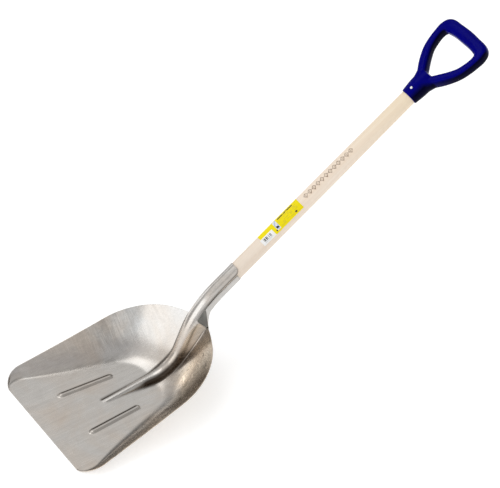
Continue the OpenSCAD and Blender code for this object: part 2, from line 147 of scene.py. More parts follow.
# s is the length along the crest from the frog's tip; these are the ends of its stretches
CA = CREST_LEN
CB = CA + KNEE_R * math.radians(NECK_SLOPE - CREST_SLOPE)
CC = CB + NECK_LEN
CD = CC + NECK_R * math.radians(NECK_SLOPE - LIFT)
CREST_END = CD + SOCKET_LEN
KNEE0 = np.array([TIP_Y, 0]) + CREST_LEN * heading(CREST_SLOPE)
KNEE1 = KNEE0 + up_arc(KNEE_R, CREST_SLOPE, NECK_SLOPE)
NECK0 = KNEE1 + NECK_LEN * heading(NECK_SLOPE)
NECK1 = NECK0 - up_arc(NECK_R, NECK_SLOPE, LIFT)


def crest_angle(s):
    s = np.asarray(s, float)
    knee, neck = CREST_SLOPE + np.degrees((s - CA) / KNEE_R), NECK_SLOPE - np.degrees((s - CC) / NECK_R)
    return np.select([s < 0, s < CA, s < CB, s < CC, s < CD],
                     [0 * s, 0 * s + CREST_SLOPE, knee, 0 * s + NECK_SLOPE, neck], LIFT)


def crest(s):
    s = np.asarray(s, float)
    a = crest_angle(s)
    parts = [np.stack([TIP_Y + s, 0 * s], -1), np.array([TIP_Y, 0]) + s[..., None] * heading(CREST_SLOPE),
             KNEE0 + up_arc(KNEE_R, CREST_SLOPE, a), KNEE1 + (s - CB)[..., None] * heading(NECK_SLOPE),
             NECK0 - up_arc(NECK_R, NECK_SLOPE, a)]
    out = NECK1 + (s - CD)[..., None] * heading(LIFT)
    for limit, part in zip((CD, CC, CB, CA, 0), parts[::-1]):
        out = np.where((s < limit)[..., None], part, out)
    return out


def frog_half_w(s):
    frog = mix(TIP_HALF, FROG_HALF, np.clip(s / FROG_LEN, 0, 1))
    return mix(frog, TUBE_R, ease((s - NECK_FROM) / NECK_GAIN))


def frog_point(s, x, d):
    """The point at depth d under the crest and x to the side."""
    s, x, d = np.broadcast_arrays(np.asarray(s, float), np.asarray(x, float), np.asarray(d, float))
    a, c = np.radians(crest_angle(s)), crest(s)
    return np.stack([x, c[..., 0] + d * np.sin(a), c[..., 1] - d * np.cos(a) + SHEET], -1)


def foot_depth(s):
    """Depth at which the frog's flank reaches the bowl, found by halving."""
    s = np.asarray(s, float)
    lo, hi = 0 * s, 0 * s + 70
    for _ in range(22):
        middle = (lo + hi) / 2
        p = frog_point(s, frog_half_w(s), middle)
        above = p[..., 2] - SHEET - bowl_z(p[..., 0], p[..., 1]) > 0
        lo, hi = np.where(above, middle, lo), np.where(above, hi, middle)
    return np.where(s <= 0, 0, (lo + hi) / 2)


RIM_END = CC + 32           # s at which the bowl's rim meets the neck
FLARE = 18.0                # length over which the sheet's edges then draw in to the seam
TOP_CORNER = 13.0           # radius of the socket's top corners
SEAM_ARC = TUBE_R * math.radians(SEAM_ANGLE)


def quarter(s):
    """Length of the rounded part of half a section, and its half-width and depth."""
    w, d = frog_half_w(s), np.minimum(foot_depth(s), TUBE_R)
    return math.pi / 2 * np.sqrt((w * w + d * d) / 2), w, d


def full_arc(s):
    q, w, d = quarter(s)
    return q + foot_depth(s) - d


def section_point(s, e):
    """The point of the frog's section that lies e along the sheet from its crest."""
    q, w, d = quarter(s)
    a = np.radians(90 * e / q)
    bend = frog_point(s, w * np.sin(a), d * (1 - np.cos(a)))
    flank = frog_point(s, w, d + e - q)
    return np.where((e <= q)[..., None], bend, flank)


def edge_arc(s):
    """Half of the sheet's width round the neck, above the rim."""
    u = s - (CREST_END - TOP_CORNER)
    cut = np.where(u <= 0, 0, TOP_CORNER - np.sqrt(np.maximum(TOP_CORNER ** 2 - u * u, 0)))
    return mix(float(full_arc(np.array(RIM_END))), SEAM_ARC, ease((s - RIM_END) / FLARE)) - cut


RIB_SLOPE = (RIB_BACK_X - RIB_FRONT_X) / (RIB_BACK - RIB_FRONT)
RIB_TOP = 0.58      # share of a rib's half-width that is flat on top


def rib_centre(y):
    return RIB_FRONT_X + RIB_SLOPE * (np.clip(y, 0, BACK_Y) - RIB_FRONT)


def rib_z(x, y):
    past = np.maximum(np.maximum(RIB_FRONT + RIB_HALF - y, y - RIB_BACK + RIB_HALF), 0)
    q = np.hypot(x - rib_centre(y), past) / RIB_HALF
    return RIB_H * (1 - ease((q - RIB_TOP) / (1 - RIB_TOP)))


def foot_y(s):
    return frog_point(s, 0, foot_depth(s))[..., 1]


RIM_LAST_Y = float(foot_y(np.array(RIM_END)))
LAST_ANGLE = math.degrees(math.atan2(RIM_LAST_Y - BACK_Y, TUBE_R))


def rim_xy(s):
    y = foot_y(s)
    a = LAST_ANGLE * (y - BACK_Y) / (RIM_LAST_Y - BACK_Y)
    r = back_rim_r(a)
    side = np.stack([side_rim_x(np.clip(y, 0, BACK_Y)), y], -1)
    back = np.stack([r * np.cos(np.radians(a)), BACK_Y + r * np.sin(np.radians(a))], -1)
    return np.where((y <= BACK_Y)[..., None], side, back)


# ---------------------------------------------------------------- mesh helpers
def smooth_faces(mesh):
    mesh.polygons.foreach_set("use_smooth", [True] * len(mesh.polygons))


def new_object(name, mesh):
    smooth_faces(mesh)
    obj = bpy.data.objects.new(name, mesh)
    bpy.context.scene.collection.objects.link(obj)
    return obj


def mesh_from(name, points, faces):
    mesh = bpy.data.meshes.new(name)
    points = [tuple(p) for p in np.asarray(points, float)]
    mesh.from_pydata(points, [], [tuple(int(i) for i in f) for f in faces])
    mesh.update()
    return mesh


def grid_faces(rows, wide):
    corners = [i * wide + j for i in range(rows - 1) for j in range(wide - 1)]
    return [(k, k + wide, k + wide + 1, k + 1) for k in corners]


def bake(obj):
    """Applies the object's modifiers to its mesh."""
    mesh = bpy.data.meshes.new_from_object(obj.evaluated_get(bpy.context.evaluated_depsgraph_get()))
    old = obj.data
    obj.modifiers.clear()
    obj.data = mesh
    bpy.data.meshes.remove(old)


def merge(mesh, gap):
    """Joins points closer than the gap and turns all faces to one side."""
    bm = bmesh.new()
    bm.from_mesh(mesh)
    bmesh.ops.remove_doubles(bm, verts=bm.verts, dist=gap)
    bmesh.ops.recalc_face_normals(bm, faces=bm.faces)
    bm.to_mesh(mesh)
    bm.free()
    mesh.update()


def to_frame(points):
    """From millimetres behind the front edge to the row frame in metres."""
    return (np.asarray(points, float).reshape(-1, 3) - [0, FACE_Y, 0]) * MM


# The handle frame: z runs up the shaft, y to its back, and 0 is the end of the neck
FOOT = np.array([0, NECK1[0] + TUBE_R * math.sin(math.radians(LIFT)) - FACE_Y,
                 NECK1[1] - TUBE_R * math.cos(math.radians(LIFT)) + SHEET]) * MM
HANDLE = Matrix.Translation(Vector(FOOT)) @ Matrix.Rotation(math.radians(LIFT - 90), 4, "X")
MOUTH = SOCKET_LEN + SHAFT_FREE


def on_handle(obj):
    """Puts a mesh made in the handle frame, in metres, into the row frame."""
    obj.data.transform(HANDLE)
    return obj


# ---------------------------------------------------------------- scoop blade
def lengths_along(line):
    return np.r_[0, np.cumsum(np.linalg.norm(np.diff(line, axis=0), axis=1))]


def along(line, lengths, stops):
    """The points of a line at the given lengths."""
    return np.stack([np.interp(stops, lengths, line[:, k]) for k in range(3)], -1)


def smooth_line(line, sigma):
    """A half section, crest to rim, rounded by a running average; mirrored at the crest, fixed at the rim.

    Gives the lengths along it and the points there."""
    step = lengths_along(line)
    ds = 0.6
    n = max(int(step[-1] / ds), 8)
    at = np.linspace(0, step[-1], n + 1)
    even = along(line, step, at)
    if sigma > 0.05:
        reach = min(int(4 * sigma / ds), n - 1)
        kernel = np.exp(-0.5 * (np.arange(-reach, reach + 1) * ds / sigma) ** 2)
        kernel /= kernel.sum()
        left = even[1:reach + 1][::-1] * [-1, 1, 1]
        right = 2 * even[-1] - even[-reach - 1:-1][::-1]
        padded = np.vstack([left, even, right])
        even = np.stack([np.convolve(padded[:, k], kernel, "valid") for k in range(3)], -1)
    return at, even


FROG_COLS, CREASE_COLS, BOWL_COLS = 16, 6, 110
N_HALF = FROG_COLS + 2 * CREASE_COLS + BOWL_COLS + 1
CREASE = 7.0        # width of the finer columns on each side of the frog's foot


def crease_width(length):
    return min(CREASE, 0.4 * length)


def frog_stops(foot):
    start = foot - crease_width(foot)
    return np.r_[np.linspace(0, start, FROG_COLS + 1), np.linspace(start, foot, CREASE_COLS + 1)[1:]]


def half_section(s, sigma):
    """Points of one station from crest to rim: frog, crease and bowl."""
    arc = float(full_arc(np.array(s)))
    frog = section_point(np.full(60, s), np.linspace(0, arc, 60))
    rim = rim_xy(np.array(s))
    u = np.linspace(0, 1, 420)[1:]
    x, y = mix(frog[-1, 0], rim[0], u), mix(frog[-1, 1], rim[1], u)
    bowl = np.stack([x, y, bowl_z(x, y) + rib_z(x, y) + SHEET], -1)
    line = np.vstack([frog, bowl])
    lengths = lengths_along(line)
    foot, total = lengths[len(frog) - 1], lengths[-1]
    at, even = smooth_line(line, sigma)
    far = foot + crease_width(total - foot)
    stops = np.r_[frog_stops(foot), np.linspace(foot, far, CREASE_COLS + 1)[1:],
                  np.linspace(far, total, BOWL_COLS + 1)[1:]]
    out = along(even, at, stops)
    out[0, 0] = 0
    return out


RIB_FLANK = 5.2     # distance of a rib's flanks from its middle


def full_row(half):
    """A whole station, left rim to right rim, from its right half."""
    return np.vstack([(half[1:] * [-1, 1, 1])[::-1], half])


def painted_shade(s, row):
    """How much painted shade each point of a full row gets: in the creases beside the frog and along the ribs'
    flanks.
    """
    arc = float(full_arc(np.array(s)))
    share = np.ones(N_HALF)
    if arc > 0.5:
        share[:FROG_COLS + CREASE_COLS + 1] = frog_stops(arc) / arc
    past = np.r_[np.zeros(FROG_COLS + CREASE_COLS + 1), np.linspace(0, CREASE, CREASE_COLS + 1)[1:],
                 np.full(BOWL_COLS, 99.0)]
    start = mix(0.35, 0.12, float(ease((s - 80) / 40)))
    flank = ease((share - start) / 0.40) * np.exp(-(past / 4.5) ** 2)
    fade = 1 - 0.8 * float(ease((s - 200) / 50))
    right = flank * (0.15 * float(ease(s / 10)) + 0.85 * float(ease((s - 65) / 50))) * fade
    left = flank * 0.9 * float(ease((s + 4) / 8)) * fade
    creases = np.r_[left[1:][::-1], right]
    off = np.abs(row[:, 0]) - rib_centre(row[:, 1])
    turned = np.where(row[:, 0] < 0, -off, off)
    inside = ease((row[:, 1] - RIB_FRONT - 4) / 8) * ease((RIB_BACK - row[:, 1] - 1) / 6)
    # painted shade: a dark line on each rib's left flank and a fainter one on its right
    left_line = np.minimum(1.5 * np.exp(-((turned + RIB_FLANK) / 3.0) ** 2), 1)
    right_line = 0.35 * np.exp(-((turned - RIB_FLANK) / 1.5) ** 2)
    return np.maximum(creases, (left_line + right_line) * inside)


def blade_mesh():
    """The sheet's top surface, with a vertex attribute that holds its painted shade."""
    floor_s = np.r_[np.array([0, 1, 2.5, 4.5, 7, 10]), np.arange(13, 150, 3.0)] - TIP_Y
    frog_s = np.r_[np.array([-6, -4, -2, -0.5]), np.arange(1, 12, 1.5), np.arange(12, RIM_END - 10, 2.6),
                   np.linspace(RIM_END - 10, RIM_END, 7)]
    stations = np.unique(np.r_[floor_s, frog_s])
    rows, painted_shade_rows = [], []
    for s in stations:
        wide_fillet = mix(1.0, 3.4, float(ease((s - 70) / 110)))
        sigma = wide_fillet * float(ease((RIM_END - s) / 26)) * float(ease((s + TIP_Y) / 10 + 0.15))
        rows.append(full_row(half_section(s, sigma)))
        painted_shade_rows.append(painted_shade(s, rows[-1]))
    bowl = np.array(rows)
    n_rows, wide = bowl.shape[:2]
    corner = CREST_END - TOP_CORNER
    free = np.r_[np.linspace(RIM_END, RIM_END + FLARE, 9), np.linspace(RIM_END + FLARE, corner, 40)[1:],
                 corner + TOP_CORNER * np.sin(np.radians(np.linspace(0, 90, 9)))[1:]]
    arc = float(full_arc(np.array(RIM_END)))
    share = frog_stops(arc) / arc
    neck = np.array([full_row(section_point(np.full(len(share), s), share * float(edge_arc(np.array(s)))))
                     for s in free])
    neck_wide = neck.shape[1]
    first = (wide - neck_wide) // 2
    bowl[-1, first:first + neck_wide] = neck[0]
    count = n_rows * wide
    faces = grid_faces(n_rows, wide)

    def neck_at(i, j):
        """Number of a neck point; the neck's first row is part of the bowl's last."""
        return count - wide + first + j if i == 0 else count + (i - 1) * neck_wide + j

    faces += [(neck_at(i, j), neck_at(i + 1, j), neck_at(i + 1, j + 1), neck_at(i, j + 1))
              for i in range(len(neck) - 1) for j in range(neck_wide - 1)]
    mesh = mesh_from("scoop_blade_sheet", np.vstack([to_frame(bowl), to_frame(neck[1:])]), faces)
    # painted shade along the sheet's edges up the neck, at the seam with the strap, for the tube's dark sides; the
    # seam is a dark joint too
    from_edge = (1 - np.r_[share[1:][::-1], share]) * SEAM_ARC
    shade_amount = np.r_[np.concatenate(painted_shade_rows), np.tile(0.55 * np.exp(-(from_edge / 3.0) ** 2), len(neck) - 1)]
    mesh.attributes.new("painted_shade", "FLOAT", "POINT").data.foreach_set("value", shade_amount.astype(np.float32))
    merge(mesh, 1e-5)
    return mesh


def sheet_object(mesh, facing):
    """An object whose sheet grows away from the side that the mesh faces, along axis 1 or 2."""
    obj = new_object(mesh.name, mesh)
    side = sum(p.normal[abs(facing)] * p.area for p in mesh.polygons)
    if side * facing < 0:
        mesh.flip_normals()
    thick = obj.modifiers.new("thickness", "SOLIDIFY")
    thick.thickness = SHEET * MM
    thick.offset = -1
    bake(obj)
    return obj


blade = sheet_object(blade_mesh(), 2)


# ---------------------------------------------------------------- rear strap
def tube_point(s, a, r):
    """The point at angle a from the front and radius r of the tube that has the crest as its front line."""
    s, a = np.asarray(s, float), np.radians(a)
    p, c = np.radians(crest_angle(s)), crest(s)
    k = TUBE_R - r * np.cos(a)
    return np.stack([r * np.sin(a) + 0 * s, c[..., 0] + k * np.sin(p), c[..., 1] - k * np.cos(p) + SHEET], -1)


STRAP_TOP = CREST_END - STRAP_DROP
STRAP_LOW = RIM_END + FLARE + 32
STRAP_GAP = 6.0                                             # angle between the strap and the seam
STRAP_COLS = 41
CHEEK_S, CHEEK_HALF, CHEEK_GAP = RIM_END + 37.0, 84.0, 2.0  # the row where the strap leaves the tube
STRAP_REACH, TONGUE_START = 54.0, 22.0                      # how far it goes down the bowl, and narrows
FLARE_HALF, FLARE_GAIN, TONGUE_CUT = 25.0, 11.0, 24.0       # its half-width on the bowl
SKIN_GAP, RIM_GAP = 0.15, 2.0                               # its gap from the bowl, and more at the rim


def strap_rows():
    """Rows across the strap's inner face: down the tube, over the cheeks and down the bowl's back."""
    v = 1 - 2 * np.linspace(0, 1, STRAP_COLS)
    angles = 180 - (180 - SEAM_ANGLE - STRAP_GAP) * v
    rows = [tube_point(np.full(STRAP_COLS, s), angles, SHAFT_R + FIT) for s in np.linspace(STRAP_TOP, STRAP_LOW, 14)]
    tube = rows[-1]
    cheek = tube_point(np.full(STRAP_COLS, CHEEK_S), 180 - CHEEK_HALF * v, TUBE_R + CHEEK_GAP)
    flare = []
    for d in np.linspace(1, STRAP_REACH, 12):
        tongue = min(max((d - TONGUE_START) / (STRAP_REACH - TONGUE_START), 0), 1)
        x = (FLARE_HALF + FLARE_GAIN * float(ease(d / 14)) - TONGUE_CUT * tongue ** 2) * v
        a = np.degrees(np.arctan2(BACK_R, np.abs(x)))
        r = back_rim_r(a) - d
        y = BACK_Y + np.sqrt(r * r - x * x)
        steep = bowl_z(np.abs(x), y + 0.5) - bowl_z(np.abs(x), y - 0.5)
        stand_off = SKIN_GAP + RIM_GAP * min(max((8 - d) / 7, 0), 1)
        z = bowl_z(np.abs(x), y) + SHEET * (1 - 1.15 * np.sqrt(1 + steep ** 2))
        flare.append(np.stack([x, y + stand_off, z], -1))
    rows += [mix(tube, cheek, 0.35), mix(tube, cheek, 0.7), cheek]
    rows += [mix(cheek, flare[0], 0.35), mix(cheek, flare[0], 0.7)] + flare
    return np.array(rows)


def resample(rows, per_gap):
    """More rows along a smooth curve through the given ones."""
    out = []
    n = len(rows)
    for k in range(n - 1):
        a, b, c, d = rows[max(k - 1, 0)], rows[k], rows[k + 1], rows[min(k + 2, n - 1)]
        for t in np.arange(per_gap) / per_gap:
            out.append(0.5 * (2 * b + (c - a) * t + (2 * a - 5 * b + 4 * c - d) * t * t
                              + (3 * b - a - 3 * c + d) * t ** 3))
    return np.array(out + [rows[-1]])


strap_grid = resample(strap_rows(), 3)
strap_faces = grid_faces(*strap_grid.shape[:2])
strap = sheet_object(mesh_from("socket_strap_sheet", to_frame(strap_grid), strap_faces), -1)
# the inner faces come first and get the second material
strap_kinds = np.zeros(len(strap.data.polygons), np.int32)
strap_kinds[:len(strap_faces)] = 1


# ---------------------------------------------------------------- D-grip
def tube_faces(rings, sides):
    """Faces of a tube given ring by ring, with both ends filled."""
    faces = []
    for k in range(rings - 1):
        for i in range(sides):
            a, b = k * sides + i, k * sides + (i + 1) % sides
            faces.append((a, b, b + sides, a + sides))
    last = (rings - 1) * sides
    return faces + [tuple(reversed(range(sides))), tuple(range(last, last + sides))]


def ring_tube(name, path, sides, power):
    """A tube in the handle frame's x-z plane. Path rows are x, z, half-width and half-depth in mm."""
    pts = []
    for k, (x, z, half_w, half_d) in enumerate(path):
        a, b = path[max(k - 1, 0)], path[min(k + 1, len(path) - 1)]
        t = (b[:2] - a[:2]) / np.linalg.norm(b[:2] - a[:2])
        for i in range(sides):
            u = 2 * math.pi * i / sides
            cu, su = (math.copysign(abs(c) ** (2 / power), c) for c in (math.cos(u), math.sin(u)))
            pts.append((x + t[1] * half_w * cu, half_d * su, z - t[0] * half_w * cu))
    return mesh_from(name, np.array(pts) * MM, tube_faces(len(path), sides))


def revolved(name, profile, sides=96):
    """A solid of revolution about local z. Profile rows are radius and z in mm, from bottom to top."""
    turns = [2 * math.pi * i / sides for i in range(sides)]
    pts = [(r * math.cos(u), r * math.sin(u), z) for r, z in profile for u in turns]
    return mesh_from(name, np.array(pts) * MM, tube_faces(len(profile), sides))


def join_meshes(name, meshes):
    bm = bmesh.new()
    for m in meshes:
        bm.from_mesh(m)
        bpy.data.meshes.remove(m)
    bmesh.ops.recalc_face_normals(bm, faces=bm.faces)
    out = bpy.data.meshes.new(name)
    bm.to_mesh(out)
    bm.free()
    return out


GRIP_SOCKET_R, GRIP_WEB_X, GRIP_WEB_Z, GRIP_WEB_R = 24.5, 20.0, 58.0, 12.0
GRIP_VOXEL = 1.1


def grip_web():
    """The web that fills the corner between the socket and the two arms."""
    web = bmesh.new()
    for x in (-GRIP_WEB_X, GRIP_WEB_X):
        place = Matrix.Translation((x * MM, 0, GRIP_WEB_Z * MM)) @ Matrix.Diagonal((1, 1.25, 1, 1))
        bmesh.ops.create_uvsphere(web, u_segments=32, v_segments=20, radius=GRIP_WEB_R * MM, matrix=place)
    place = Matrix.Translation((0, 0, 40 * MM))
    bmesh.ops.create_circle(web, cap_ends=True, radius=(GRIP_SOCKET_R - 0.2) * MM, segments=64, matrix=place)
    hull = bmesh.ops.convex_hull(web, input=web.verts)
    inside = [g for g in hull["geom_interior"] if isinstance(g, bmesh.types.BMVert)]
    bmesh.ops.delete(web, geom=inside, context="VERTS")
    mesh = bpy.data.meshes.new("grip_web")
    web.to_mesh(mesh)
    web.free()
    return mesh


def make_grip():
    # half of the loop, from the socket to the middle of the bar: x, z, half-width, half-depth
    bar_z, arm_x = GRIP_LEN - BAR_T / 2, GRIP_HALF_W - 13
    side = [[11, 52, 11, 16], [30, 74, 12, 16], [45, 94, 12, 15], [57, 115, 11.5, 14],
            [arm_x - 0.5, 138, 11, 14], [arm_x + 2, 157, 11, 14.5], [arm_x + 0.5, 172, 13.5, 15.5],
            [arm_x - 9, bar_z - 4.5, 17.5, 16.5], [30, bar_z - 1, BAR_T / 2 - 0.5, 17],
            [0, bar_z, BAR_T / 2, 17]]
    half = np.array(side, float) * [1, 1, 0.97, 0.96]
    path = np.vstack([half, half[-2::-1] * [-1, 1, 1, 1]])
    loop = ring_tube("grip_loop", resample(path, 6), 48, 3.0)
    r = GRIP_SOCKET_R
    socket = revolved("grip_socket", [(20.0, 0), (20.9, 0.4), (21.3, 1.6), (22.9, 16), (24.3, 29), (r, 34),
                                      (r, 40), (r - 2, 54), (r - 4, 66), (8, 69)])
    obj = new_object("d_grip_moulding", join_meshes("d_grip_moulding", [loop, socket, grip_web()]))
    remesh = obj.modifiers.new("remesh", "REMESH")
    remesh.mode = "VOXEL"
    remesh.voxel_size = GRIP_VOXEL * MM
    soften = obj.modifiers.new("soften", "SMOOTH")
    soften.factor = 0.5
    soften.iterations = 16
    bake(obj)
    bore = new_object("grip_bore", revolved("grip_bore", [(END_R, -1.0), (END_R, GRIP_HOLD + 2)]))
    cut = obj.modifiers.new("bore", "BOOLEAN")
    cut.operation = "DIFFERENCE"
    cut.solver = "EXACT"
    cut.object = bore
    bake(obj)
    bpy.data.objects.remove(bore)
    thin = obj.modifiers.new("thin", "DECIMATE")
    thin.ratio = 0.35
    bake(obj)
    obj.data.transform(Matrix.Translation((0, 0, MOUTH * MM)))
    smooth_faces(obj.data)
    return on_handle(obj)


grip = make_grip()


# ---------------------------------------------------------------- shaft, label and sticker
LABEL_Z, LABEL_LEN, LABEL_HALF = SOCKET_LEN + 82, 122.0, 60.0
STICKER_Z, STICKER_LEN, STICKER_FROM = LABEL_Z - 2, 37.0, 9.0
LABEL_R, STICKER_R = SHAFT_R + 0.02, SHAFT_R + 0.24
LABEL_CELL, STICKER_CELL = 0.8, 0.5


def make_shaft():
    taper_z, end = MOUTH - TAPER_LEN, MOUTH + GRIP_HOLD
    profile = [(9, -55), (SHAFT_R - 2, -6), (SHAFT_R - FIT, 6), (SHAFT_R - FIT, SOCKET_LEN + 2),
               (SHAFT_R, SOCKET_LEN + 3)]
    profile += [(SHAFT_R, z) for z in np.linspace(SOCKET_LEN + 20, taper_z, 20)]
    profile += [(mix(SHAFT_R, END_R, k / 12), mix(taper_z, MOUTH - 2, k / 12)) for k in range(1, 13)]
    profile += [(END_R - FIT, MOUTH - 1), (END_R - FIT, end - 3), (END_R - 3, end)]
    return on_handle(new_object("handle_shaft_wood", revolved("handle_shaft_wood", profile)))


shaft = make_shaft()


def skin_patch(name, z0, z1, a0, a1, r, cell, pick):
    """A thin closed skin round the shaft, in cells. pick(u, v) gives a cell's material, u across, v up, in mm."""
    arc = math.radians(a1 - a0) * r
    nz, na = max(int(round((z1 - z0) / cell)), 1), max(int(round(arc / cell)), 1)
    zs, angles = np.linspace(z0, z1, nz + 1), np.radians(np.linspace(a0, a1, na + 1))
    pts = [(rr * math.sin(a), -rr * math.cos(a), z) for rr in (r + PAPER, r) for z in zs for a in angles]
    wide = na + 1
    count = (nz + 1) * wide
    corners = [i * wide + j for i in range(nz) for j in range(na)]
    faces = [(q, q + 1, q + wide + 1, q + wide) for q in corners]
    kinds = [pick((j + 0.5) / na * arc, (i + 0.5) / nz * (z1 - z0)) for i in range(nz) for j in range(na)]
    faces += [(q + count, q + count + wide, q + count + wide + 1, q + count + 1) for q in corners]
    edge = list(range(wide)) + [i * wide + wide - 1 for i in range(1, nz + 1)]
    edge += [nz * wide + j for j in range(wide - 2, -1, -1)] + [i * wide for i in range(nz - 1, 0, -1)]
    faces += [(a, a + count, b + count, b) for a, b in zip(edge, edge[1:] + edge[:1])]
    kinds += [0] * (len(faces) - len(kinds))
    mesh = mesh_from(name, np.array(pts) * MM, faces)
    return on_handle(new_object(name, mesh)), kinds


PAPER = 0.18        # thickness of label and sticker
rng = np.random.default_rng(11)
line_breaks = rng.random((60, 12))


def label_print(u, v):
    """Generic print: 0 yellow, 1 dark, 2 grey, 3 white, 4 pale blue. u runs across, v up the shaft."""
    if 59 < v < 106 and 12.0 < u < 16.0 and line_breaks[int(u / 2), int(v / 3.1) % 12] > 0.16:
        return 1
    if 101 < v < 106 and 31.5 < u < 36:
        return 1
    if 44 < v < 54 and 9 < u < 36:
        if 26 < u < 32 and v - 49 < (u - 26) * 0.9 and v > 46:
            return 1
        return 3 if (u + 2 * v) % 17 < 9 else 4
    if 41 < v < 44 and 33 < u < 36:
        return 1
    if 58 < v < 112 and 18 < u < 35 and (u // 0.8) % 3 == 0 and line_breaks[int(u), int(v / 6) % 12] > 0.45:
        return 2
    return 0


label, label_kinds = skin_patch("shaft_label_paper", LABEL_Z, LABEL_Z + LABEL_LEN, -LABEL_HALF, LABEL_HALF,
                                LABEL_R, LABEL_CELL, label_print)
bar_width = rng.integers(1, 4, 40)
bar_at = np.cumsum(bar_width)


def sticker_print(u, v):
    """Generic bars across the sticker: 0 white, 1 dark, 2 grey."""
    if not 7 < v < 30:
        return 0
    if 3 < u < 10.5 and np.searchsorted(bar_at, (v - 7) / 1.1) % 2 == 0:
        return 1
    return 2 if 12 < u < 13.2 and int(v) % 3 != 0 else 0


sticker, sticker_kinds = skin_patch("barcode_sticker_paper", STICKER_Z, STICKER_Z + STICKER_LEN, STICKER_FROM,
                                    LABEL_HALF, STICKER_R, STICKER_CELL, sticker_print)


# ---------------------------------------------------------------- materials
def grey(v):
    return (v, v, v)


class Nodes:
    """Builds one node material a line at a time."""

    def __init__(self, name):
        self.mat = bpy.data.materials.new(name)
        self.mat.use_nodes = True
        self.tree = self.mat.node_tree
        self.tree.nodes.clear()
        self.out = self.tree.nodes.new("ShaderNodeOutputMaterial")
        self.shader = self.tree.nodes.new("ShaderNodeBsdfPrincipled")
        self.tree.links.new(self.shader.outputs[0], self.out.inputs[0])

    def add(self, kind, **values):
        node = self.tree.nodes.new(kind)
        for key, value in values.items():
            setattr(node, key, value)
        return node

    def link(self, a, b):
        self.tree.links.new(a, b)

    def coords(self, scale=(1, 1, 1), turn=(0, 0, 0), shift=(0, 0, 0)):
        tex = self.add("ShaderNodeTexCoord")
        mapping = self.add("ShaderNodeMapping", vector_type="POINT")
        mapping.inputs["Scale"].default_value = scale
        mapping.inputs["Rotation"].default_value = turn
        mapping.inputs["Location"].default_value = shift
        self.link(tex.outputs["Object"], mapping.inputs[0])
        return mapping.outputs[0]

    def split(self, vector):
        parts = self.add("ShaderNodeSeparateXYZ")
        self.link(vector, parts.inputs[0])
        return parts.outputs

    def noise(self, vector, scale, detail=4.0, rough=0.5, distortion=0.0):
        n = self.add("ShaderNodeTexNoise")
        n.inputs["Scale"].default_value = scale
        n.inputs["Detail"].default_value = detail
        n.inputs["Roughness"].default_value = rough
        n.inputs["Distortion"].default_value = distortion
        self.link(vector, n.inputs["Vector"])
        return n.outputs["Fac"]

    def ramp(self, fac, stops):
        r = self.add("ShaderNodeValToRGB")
        while len(r.color_ramp.elements) < len(stops):
            r.color_ramp.elements.new(0.5)
        for e, (at, colour) in zip(r.color_ramp.elements, stops):
            e.position = at
            e.color = (*colour, 1) if len(colour) == 3 else colour
        self.link(fac, r.inputs[0])
        return r.outputs[0]

    def rise(self, fac, start, end, top=1.0):
        """From 0 at start to top at end."""
        return self.ramp(fac, [(start, grey(0)), (end, grey(top))])

    def blend(self, fac, a, b, mode="MIX"):
        m = self.add("ShaderNodeMix", data_type="RGBA", blend_type=mode)
        for value, socket in ((fac, m.inputs[0]), (a, m.inputs[6]), (b, m.inputs[7])):
            if hasattr(value, "links"):
                self.link(value, socket)
            else:
                socket.default_value = value if not isinstance(value, tuple) else (*value, 1)
        return m.outputs[2]

    def math(self, op, a, b=0.0, clamp=False):
        m = self.add("ShaderNodeMath", operation=op, use_clamp=clamp)
        for value, socket in ((a, m.inputs[0]), (b, m.inputs[1])):
            if hasattr(value, "links"):
                self.link(value, socket)
            else:
                socket.default_value = value
        return m.outputs[0]

    def bump(self, height, strength, distance):
        b = self.add("ShaderNodeBump")
        b.inputs["Strength"].default_value = strength
        b.inputs["Distance"].default_value = distance
        self.link(height, b.inputs["Height"])
        self.link(b.outputs[0], self.shader.inputs["Normal"])

    def tinted(self, fac, colour, by):
        """The colour, multiplied by another colour where the factor is 1."""
        return self.blend(fac, colour, self.blend(1.0, colour, by, "MULTIPLY"))

    def set(self, **values):
        """Values or links for the shader's sockets, with _ for a space in their names."""
        for key, value in values.items():
            socket = self.shader.inputs[key.replace("_", " ")]
            if hasattr(value, "links"):
                self.link(value, socket)
            else:
                socket.default_value = value


def steel(name, tint, warm, rough, streak_scale, turn=(0, 0, 0)):
    """Satin steel: clouds between a cool and a warm tint, fine streaks along one direction."""
    m = Nodes(name)
    streaks = m.noise(m.coords(scale=streak_scale, turn=turn), 1.0, 4.0, 0.6)
    cloud = m.noise(m.coords(shift=(0.3, 0.1, 0.2)), 7.0, 4.0, 0.55, 0.8)
    patches = m.noise(m.coords(shift=(3, 1, 2)), 30.0, 4.0, 0.6, 1.0)
    colour = m.ramp(cloud, [(0.38, tint), (0.62, warm)])
    shade = m.ramp(streaks, [(0.30, grey(0.93)), (0.70, grey(1.05))])
    colour = m.blend(1.0, colour, shade, "MULTIPLY")
    spots = m.ramp(patches, [(0.32, (0.94, 0.93, 0.92)), (0.68, grey(1.05))])
    colour = m.blend(0.7, colour, spots, "MULTIPLY")
    uneven = m.math("ADD", m.math("MULTIPLY", patches, 0.10), m.math("MULTIPLY", streaks, 0.08))
    roughness = m.math("ADD", uneven, rough - 0.09)
    m.set(Metallic=1.0, Roughness=roughness)
    return m, colour, streaks, roughness


